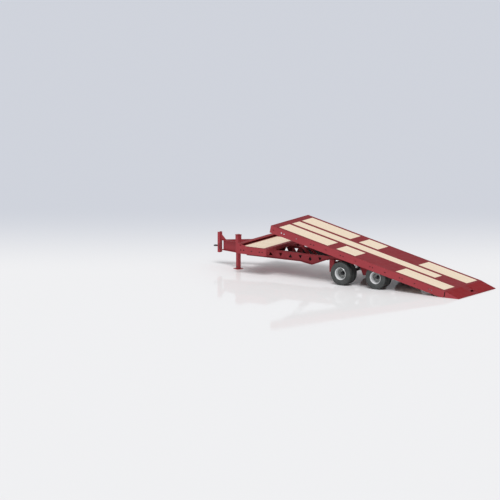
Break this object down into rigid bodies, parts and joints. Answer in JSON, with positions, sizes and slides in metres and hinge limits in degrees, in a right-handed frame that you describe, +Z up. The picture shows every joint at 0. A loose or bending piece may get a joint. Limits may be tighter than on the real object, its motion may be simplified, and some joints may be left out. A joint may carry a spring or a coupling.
{
  "type": "tilt trailer",
  "caption": "Drawbar tilt trailer with a wood-floored bed that tips back on a shaft, lift cylinders, a fixed front deck, twin wheels and a sliding jack.",
  "frame": {"origin": "on the ground under the middle of the trailer's length and width, as it stands with its bed tipped", "axes": "+X forward to the towing eye, +Y to the trailer's left, +Z up"},
  "size_m": [10.9801, 2.44, 1.866],
  "materials": {
    "red_paint": "semi-gloss maroon paint",
    "tail_paint": "darker glossy red paint",
    "deck_wood": "bare pale planks",
    "tyre_rubber": "matte dark grey rubber",
    "wheel_silver": "white-silver wheel paint",
    "axle_black": "black chassis paint",
    "bare_steel": "polished rod"
  },
  "bodies": {
    "bed": {"bed_side_left": "red_paint", "bed_beam_left": "red_paint", "bed_side_right": "red_paint", "bed_beam_right": "red_paint", "bed_ribs": "red_paint", "bed_header": "red_paint", "lug_member": "red_paint", "bed_floor": "red_paint", "planks_centre": "deck_wood", "planks_left_front": "deck_wood", "planks_left_middle": "deck_wood", "planks_left_rear": "deck_wood", "planks_right_front": "deck_wood", "planks_right_middle": "deck_wood", "planks_right_rear": "deck_wood", "tail": "tail_paint"},
    "jack": {"jack_leg": "red_paint"},
    "chassis": {"frame_rail_left": "red_paint", "rocker_left": "axle_black", "spring_front_left": "axle_black", "spring_rear_left": "axle_black", "frame_rail_right": "red_paint", "rocker_right": "axle_black", "spring_front_right": "axle_black", "spring_rear_right": "axle_black", "cross_member_front": "red_paint", "cross_member_deck": "red_paint", "hanger_tube_front": "red_paint", "hanger_tube_rear": "red_paint", "pivot_shaft": "axle_black", "cylinder_beam": "red_paint", "axle_front": "axle_black", "axle_rear": "axle_black", "leg_left": "red_paint", "jack_housing": "red_paint", "leg_right": "red_paint", "coupler_plate": "red_paint", "drawbar_eye": "axle_black", "front_deck_frame": "red_paint", "front_deck_planks": "deck_wood", "front_rail": "red_paint"},
    "wheel_front_left": {"tyre_outer_front_left": "tyre_rubber", "tyre_inner_front_left": "tyre_rubber", "rim_front_left": "wheel_silver"},
    "wheel_rear_left": {"tyre_outer_rear_left": "tyre_rubber", "tyre_inner_rear_left": "tyre_rubber", "rim_rear_left": "wheel_silver"},
    "wheel_front_right": {"tyre_outer_front_right": "tyre_rubber", "tyre_inner_front_right": "tyre_rubber", "rim_front_right": "wheel_silver"},
    "wheel_rear_right": {"tyre_outer_rear_right": "tyre_rubber", "tyre_inner_rear_right": "tyre_rubber", "rim_rear_right": "wheel_silver"},
    "cylinder_left": {"lift_cylinder_left": "red_paint"},
    "rod_left": {"lift_rod_left": "bare_steel"},
    "cylinder_right": {"lift_cylinder_right": "red_paint"},
    "rod_right": {"lift_rod_right": "bare_steel"}
  },
  "joints": [
    {"name": "bed_tilt", "type": "hinge", "parent": "chassis", "child": "bed", "pos_m": [-1.48957, 0, 0.6], "axis": [0, 1, 0], "range_deg": [0, 12.73]},
    {"name": "jack_slide", "type": "slide", "parent": "chassis", "child": "jack", "axis": [0, 0, 1], "range_m": [0, 0.32]},
    {"name": "lift_cylinder_left_swing", "type": "hinge", "parent": "chassis", "child": "cylinder_left", "pos_m": [1.19293, 0.185, 0.56], "axis": [0, 1, 0], "range_deg": [0, 36.4]},
    {"name": "lift_rod_left_stroke", "type": "slide", "parent": "cylinder_left", "child": "rod_left", "axis": [0.7165, 0, 0.6976], "range_m": [-0.28, 0]},
    {"name": "lift_cylinder_right_swing", "type": "hinge", "parent": "chassis", "child": "cylinder_right", "pos_m": [1.19293, -0.185, 0.56], "axis": [0, 1, 0], "range_deg": [0, 36.4]},
    {"name": "lift_rod_right_stroke", "type": "slide", "parent": "cylinder_right", "child": "rod_right", "axis": [0.7165, 0, 0.6976], "range_m": [-0.28, 0]},
    {"name": "wheel_front_left_spin", "type": "hinge", "parent": "chassis", "child": "wheel_front_left", "pos_m": [-0.52957, 0.9525, 0.415], "axis": [0, 1, 0], "continuous": true},
    {"name": "wheel_front_right_spin", "type": "hinge", "parent": "chassis", "child": "wheel_front_right", "pos_m": [-0.52957, -0.9525, 0.415], "axis": [0, 1, 0], "continuous": true},
    {"name": "wheel_rear_left_spin", "type": "hinge", "parent": "chassis", "child": "wheel_rear_left", "pos_m": [-1.98457, 0.9525, 0.415], "axis": [0, 1, 0], "continuous": true},
    {"name": "wheel_rear_right_spin", "type": "hinge", "parent": "chassis", "child": "wheel_rear_right", "pos_m": [-1.98457, -0.9525, 0.415], "axis": [0, 1, 0], "continuous": true}
  ],
  "couplings": [
    {"joint": "lift_cylinder_left_swing", "follows": "bed_tilt", "ratio": 2.8551},
    {"joint": "lift_rod_left_stroke", "follows": "bed_tilt", "m_per_rad": -1.2382},
    {"joint": "lift_cylinder_right_swing", "follows": "bed_tilt", "ratio": 2.8551},
    {"joint": "lift_rod_right_stroke", "follows": "bed_tilt", "m_per_rad": -1.2382}
  ]
}
